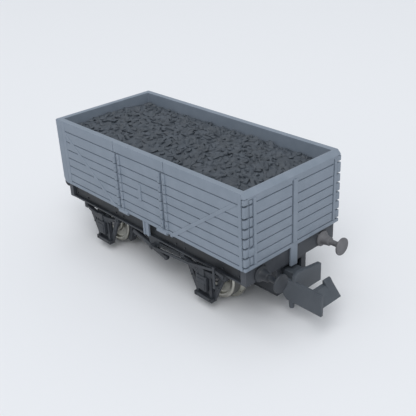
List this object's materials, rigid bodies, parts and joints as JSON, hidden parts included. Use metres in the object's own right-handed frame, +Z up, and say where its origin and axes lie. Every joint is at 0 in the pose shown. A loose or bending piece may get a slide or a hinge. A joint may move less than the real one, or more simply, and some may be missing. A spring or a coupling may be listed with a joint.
{
  "type": "model open coal wagon",
  "caption": "Small-gauge model of a planked open coal wagon with a lift-out coal load, rolling flanged wheelsets and sprung hook couplers.",
  "frame": {"origin": "on the surface under the wheel flanges, below the middle of the wagon", "axes": "+X towards the end door, +Y across the wagon, +Z up"},
  "size_m": [0.0478, 0.0168, 0.0178],
  "materials": {
    "body_plastic": "satin",
    "coal": "matte",
    "frame_plastic": "matte",
    "steel": "satin",
    "wheel_metal": "polished"
  },
  "bodies": {
    "wagon": {"body_tub": "body_plastic", "ballast_weight": "steel", "underframe": "frame_plastic", "axleguard_front_right": "frame_plastic", "axleguard_front_left": "frame_plastic", "axleguard_rear_right": "frame_plastic", "axleguard_rear_left": "frame_plastic", "brake_rigging_right": "frame_plastic", "brake_rigging_left": "frame_plastic", "brake_shoe_front_right": "frame_plastic", "brake_shoe_front_left": "frame_plastic", "brake_shoe_rear_right": "frame_plastic", "brake_shoe_rear_left": "frame_plastic", "buffer_front_right": "frame_plastic", "buffer_front_left": "frame_plastic", "buffer_rear_right": "frame_plastic", "buffer_rear_left": "frame_plastic", "coupler_cover_front": "frame_plastic", "coupler_cover_rear": "frame_plastic"},
    "wheelset_front": {"axle_front": "steel", "bush_front_right": "frame_plastic", "bush_front_left": "frame_plastic", "wheel_front_right": "wheel_metal", "wheel_front_left": "wheel_metal"},
    "wheelset_rear": {"axle_rear": "steel", "bush_rear_right": "frame_plastic", "bush_rear_left": "frame_plastic", "wheel_rear_right": "wheel_metal", "wheel_rear_left": "wheel_metal"},
    "coupler_front_swing": {"coupler_spring_front": "steel"},
    "coupler_front_hook": {"coupler_front": "frame_plastic"},
    "coupler_rear_swing": {"coupler_spring_rear": "steel"},
    "coupler_rear_hook": {"coupler_rear": "frame_plastic"},
    "coal": {"coal_load": "coal"}
  },
  "joints": [
    {"name": "wheelset_front_spin", "type": "hinge", "parent": "wagon", "child": "wheelset_front", "pos_m": [0.01033, 0, 0.0036], "axis": [0, 1, 0], "continuous": true},
    {"name": "wheelset_rear_spin", "type": "hinge", "parent": "wagon", "child": "wheelset_rear", "pos_m": [-0.01033, 0, 0.0036], "axis": [0, 1, 0], "continuous": true},
    {"name": "coupler_front_yaw", "type": "hinge", "parent": "wagon", "child": "coupler_front_swing", "pos_m": [0.0145, 0, 0.0047], "axis": [0, 0, 1], "range_deg": [-8, 8], "stiffness_Nm_per_rad": 0.0003},
    {"name": "coupler_front_lift", "type": "hinge", "parent": "coupler_front_swing", "child": "coupler_front_hook", "pos_m": [0.0145, 0, 0.0047], "axis": [0, -1, 0], "range_deg": [0, 6], "stiffness_Nm_per_rad": 0.0003},
    {"name": "coupler_rear_yaw", "type": "hinge", "parent": "wagon", "child": "coupler_rear_swing", "pos_m": [-0.0145, 0, 0.0047], "axis": [0, 0, 1], "range_deg": [-8, 8], "stiffness_Nm_per_rad": 0.0003},
    {"name": "coupler_rear_lift", "type": "hinge", "parent": "coupler_rear_swing", "child": "coupler_rear_hook", "pos_m": [-0.0145, 0, 0.0047], "axis": [0, 1, 0], "range_deg": [0, 6], "stiffness_Nm_per_rad": 0.0003},
    {"name": "coal_lift_out", "type": "slide", "parent": "wagon", "child": "coal", "axis": [0, 0, 1], "range_m": [0, 0.012]}
  ]
}
